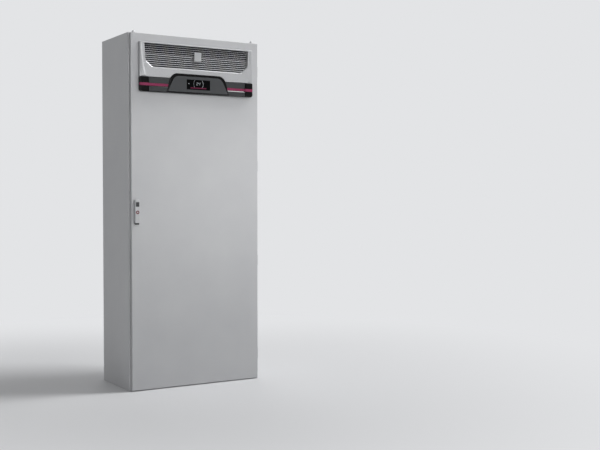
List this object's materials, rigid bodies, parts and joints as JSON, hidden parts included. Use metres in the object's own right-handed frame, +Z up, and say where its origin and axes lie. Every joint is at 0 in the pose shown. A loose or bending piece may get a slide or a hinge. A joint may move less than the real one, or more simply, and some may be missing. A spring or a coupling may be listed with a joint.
{
  "type": "rack with integrated cooling",
  "caption": "Tall free-standing sheet steel enclosure with a hinged full-height door, swing handle and lock rods, and a cooling unit with louvred inlet and display behind the top of the door.",
  "frame": {"origin": "middle of the frame's footprint on the floor, which is the middle of the base anchor holes", "axes": "+X to the right seen from the front, +Y from the door to the rear panel, +Z up"},
  "size_m": [0.822, 0.4566, 2.015],
  "materials": {
    "powder_coat": "light grey textured powder coat on sheet steel",
    "frame_paint": "light grey dip coat and powder coat on folded steel",
    "zinc_sheet": "zinc-plated sheet steel with a faint spangle",
    "zinc_steel": "bright zinc plating",
    "black_sheet": "black stove enamel",
    "seal_foam": "foamed polyurethane and rubber",
    "fin_aluminium": "pressed aluminium fins",
    "copper": "drawn copper tube",
    "black_plastic": "moulded black polyamide",
    "handle_grey": "light grey die casting, powder coated",
    "lock_red": "dark red moulded ring",
    "fascia_silver": "silver-grey moulded ABS, satin",
    "band_grey": "dark grey moulded ABS, fine grain",
    "gloss_black": "gloss black moulded plastic",
    "magenta": "magenta moulded strip",
    "fleece": "dark grey filter fleece"
  },
  "bodies": {
    "cabinet": {"post_front_left": "frame_paint", "post_front_right": "frame_paint", "post_rear_left": "frame_paint", "post_rear_right": "frame_paint", "top_rails": "frame_paint", "base_rails": "frame_paint", "floor_plates": "zinc_sheet", "side_panel_left": "powder_coat", "side_panel_right": "powder_coat", "panel_screws": "zinc_steel", "rear_panel": "powder_coat", "roof_plate": "powder_coat", "roof_vent_grille": "black_sheet", "roof_bolts": "frame_paint", "mounting_plate": "zinc_sheet", "hinge_frame_leaves": "frame_paint", "hinge_pins": "zinc_steel", "cooler_support_rails": "zinc_sheet", "cooler_housing": "zinc_sheet", "cooler_partition": "zinc_sheet", "exhaust_duct": "zinc_sheet", "intake_collar": "seal_foam", "condenser_coil": "fin_aluminium", "evaporator_coil": "fin_aluminium", "condensate_tray": "zinc_sheet", "condenser_fan_shroud": "zinc_sheet", "condenser_fan_motor": "black_sheet", "evaporator_fan_motor": "black_sheet", "compressor": "black_sheet", "compressor_feet": "seal_foam", "refrigerant_pipes": "copper", "filter_drier": "copper", "control_box": "black_plastic"},
    "door": {"door_skin": "powder_coat", "door_stiffener": "zinc_sheet", "door_seal": "seal_foam", "hinge_door_leaves": "frame_paint", "handle_base": "handle_grey", "lock_case": "zinc_sheet", "rod_guides": "black_plastic", "fascia_shell": "fascia_silver", "louvre_grille": "fascia_silver", "badge": "fascia_silver", "filter_mat": "fleece", "accent_strips": "magenta", "band_end_caps": "gloss_black", "lower_band": "band_grey", "display_pod": "gloss_black", "display_face": "band_grey", "display_screen": "gloss_black"},
    "handle_hub": {"handle_hub": "handle_grey", "lock_pinion": "zinc_steel", "lever_pin": "zinc_steel"},
    "handle_lever": {"handle_lever": "handle_grey", "lock_ring": "lock_red"},
    "lock_cylinder": {"lock_cylinder": "zinc_steel"},
    "rod_upper": {"lock_rod_upper": "zinc_steel"},
    "rod_lower": {"lock_rod_lower": "zinc_steel"},
    "condenser_fan": {"condenser_fan_rotor": "black_plastic"},
    "evaporator_fan": {"evaporator_impeller": "black_plastic"}
  },
  "joints": [
    {"name": "door_hinge", "type": "hinge", "parent": "cabinet", "child": "door", "pos_m": [0.4035, -0.2051, 1], "axis": [0, 0, 1], "range_deg": [0, 130]},
    {"name": "handle_turn", "type": "hinge", "parent": "door", "child": "handle_hub", "pos_m": [-0.3695, -0.2186, 1.067], "axis": [0, -1, 0], "range_deg": [0, 90]},
    {"name": "lever_lift", "type": "hinge", "parent": "handle_hub", "child": "handle_lever", "pos_m": [-0.3695, -0.2301, 1.067], "axis": [-1, 0, 0], "range_deg": [0, 40]},
    {"name": "lock_turn", "type": "hinge", "parent": "handle_lever", "child": "lock_cylinder", "pos_m": [-0.3695, -0.2301, 1.002], "axis": [0, -1, 0], "range_deg": [0, 90]},
    {"name": "upper_rod_slide", "type": "slide", "parent": "door", "child": "rod_upper", "axis": [0, 0, -1], "range_m": [0, 0.019]},
    {"name": "lower_rod_slide", "type": "slide", "parent": "door", "child": "rod_lower", "axis": [0, 0, 1], "range_m": [0, 0.019]},
    {"name": "condenser_fan_spin", "type": "hinge", "parent": "cabinet", "child": "condenser_fan", "pos_m": [0, -0.0695, 1.80325], "axis": [0, 1, 0], "continuous": true},
    {"name": "evaporator_fan_spin", "type": "hinge", "parent": "cabinet", "child": "evaporator_fan", "pos_m": [-0.07, -0.0135, 1.544], "axis": [0, 1, 0], "continuous": true}
  ],
  "couplings": [
    {"joint": "upper_rod_slide", "follows": "handle_turn", "m_per_rad": 0.012},
    {"joint": "lower_rod_slide", "follows": "handle_turn", "m_per_rad": 0.012}
  ]
}
